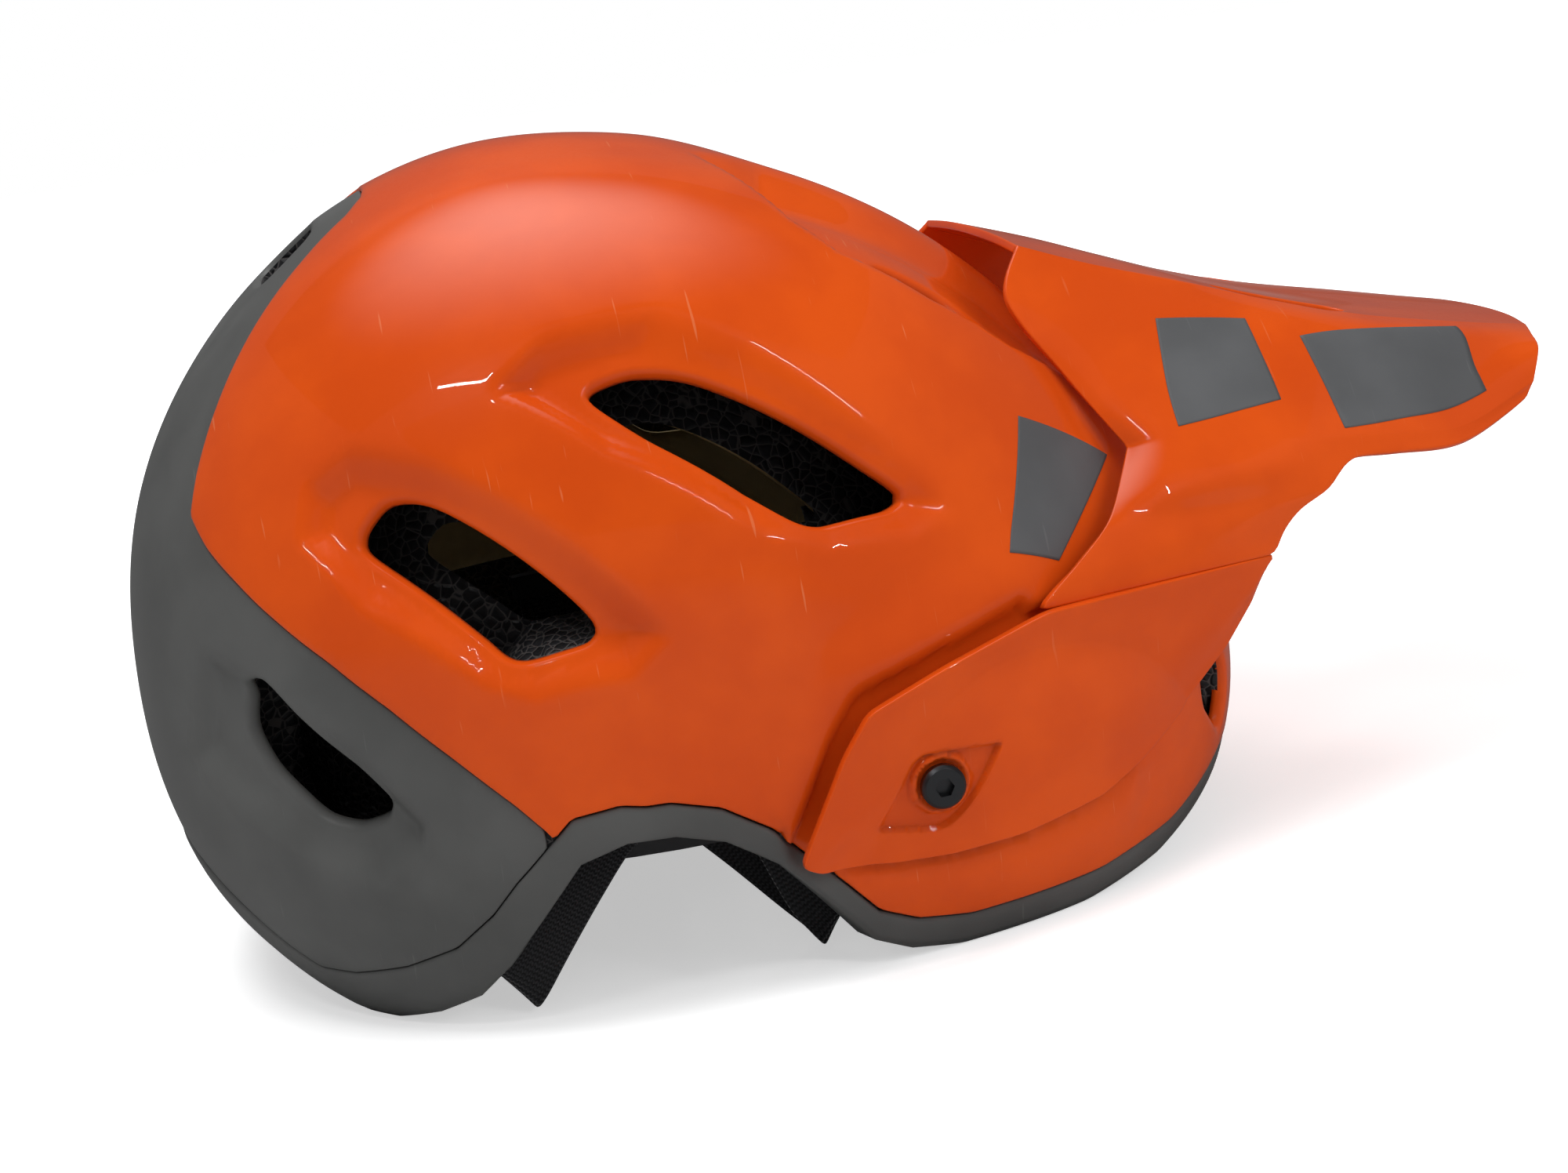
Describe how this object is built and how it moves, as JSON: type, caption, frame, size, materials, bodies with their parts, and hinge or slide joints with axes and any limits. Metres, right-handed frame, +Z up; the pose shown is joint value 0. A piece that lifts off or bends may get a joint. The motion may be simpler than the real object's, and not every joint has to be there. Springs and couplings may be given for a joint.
{
  "type": "bicycle helmet",
  "caption": "Open trail bicycle helmet with an in-moulded two-tone shell, foam liner, tilting visor, slip liner, dial-adjusted head band and buckled chin strap.",
  "frame": {"origin": "middle of the whole helmet's box, on the table that its four rim lobes stand on", "axes": "+X forward to the visor tip, +Y to the wearer's left, +Z up from the table"},
  "size_m": [0.377, 0.2334, 0.1994],
  "materials": {
    "orange_skin": "gloss",
    "grey_skin": "satin",
    "foam": "beaded foam",
    "slip_sheet": "satin",
    "pad_cloth": "knitted",
    "webbing": "woven",
    "fitting_polymer": "satin",
    "gear_polymer": "satin",
    "insert_brass": "turned",
    "screw_steel": "dark anodised"
  },
  "bodies": {
    "helmet": {"upper_shell": "orange_skin", "rear_shell": "grey_skin", "rim_trim": "grey_skin", "eps_liner": "foam", "visor_insert_left": "insert_brass", "visor_insert_right": "insert_brass", "visor_screw_left": "screw_steel", "visor_screw_right": "screw_steel", "strap_anchor_front_left": "fitting_polymer", "strap_anchor_front_right": "fitting_polymer", "strap_anchor_rear_left": "fitting_polymer", "strap_anchor_rear_right": "fitting_polymer", "strap_front_left": "webbing", "strap_front_right": "webbing", "strap_rear_left": "webbing", "strap_rear_right": "webbing", "strap_divider_left": "fitting_polymer", "strap_divider_right": "fitting_polymer", "chin_strap_left": "webbing", "chin_strap_right": "webbing", "buckle_socket": "fitting_polymer", "strap_tail": "webbing", "strap_keeper": "fitting_polymer", "cradle_rail": "fitting_polymer", "belt_left": "fitting_polymer", "belt_right": "fitting_polymer", "belt_anchor_left": "fitting_polymer", "belt_anchor_right": "fitting_polymer", "slip_stud_front": "slip_sheet", "slip_stud_rear": "slip_sheet", "slip_stud_left": "slip_sheet", "slip_stud_right": "slip_sheet"},
    "visor": {"visor": "orange_skin", "visor_arm_left": "orange_skin", "visor_arm_right": "orange_skin"},
    "liner": {"slip_liner": "slip_sheet", "pad_brow": "pad_cloth", "pad_crown": "pad_cloth", "pad_side_left": "pad_cloth", "pad_side_right": "pad_cloth", "pad_rear": "pad_cloth"},
    "cradle": {"cradle_frame": "fitting_polymer", "dial_housing": "fitting_polymer", "housing_cover": "fitting_polymer"},
    "dial": {"dial_knob": "fitting_polymer", "dial_pinion": "gear_polymer"},
    "rack_left": {"rack_left": "gear_polymer"},
    "rack_right": {"rack_right": "gear_polymer"},
    "buckle_tongue": {"buckle_tongue": "fitting_polymer"}
  },
  "joints": [
    {"name": "visor_tilt", "type": "hinge", "parent": "helmet", "child": "visor", "pos_m": [-0.00949, 0, 0.047], "axis": [0, 1, 0], "range_deg": [0, 12]},
    {"name": "liner_slip", "type": "hinge", "parent": "helmet", "child": "liner", "pos_m": [-0.06749, 0, 0.086], "axis": [0, 0, 1], "range_deg": [-2, 2], "stiffness_Nm_per_rad": 2},
    {"name": "cradle_height", "type": "slide", "parent": "helmet", "child": "cradle", "axis": [0, 0, 1], "range_m": [0, 0.008], "deforming": ["belt_left", "belt_right"]},
    {"name": "dial_turn", "type": "hinge", "parent": "cradle", "child": "dial", "pos_m": [-0.13849, 0, 0.017], "axis": [1, 0, 0], "range_deg": [0, 150]},
    {"name": "rack_left_pull", "type": "slide", "parent": "cradle", "child": "rack_left", "axis": [0, -1, 0], "range_m": [0, 0.012], "deforming": ["belt_left"]},
    {"name": "rack_right_pull", "type": "slide", "parent": "cradle", "child": "rack_right", "axis": [0, 1, 0], "range_m": [0, 0.012], "deforming": ["belt_right"]},
    {"name": "buckle_release", "type": "slide", "parent": "helmet", "child": "buckle_tongue", "axis": [0, -1, 0], "range_m": [0, 0.02], "deforming": ["chin_strap_right", "strap_tail"]}
  ],
  "couplings": [
    {"joint": "rack_left_pull", "follows": "dial_turn", "m_per_rad": 0.0045},
    {"joint": "rack_right_pull", "follows": "dial_turn", "m_per_rad": 0.0045}
  ]
}
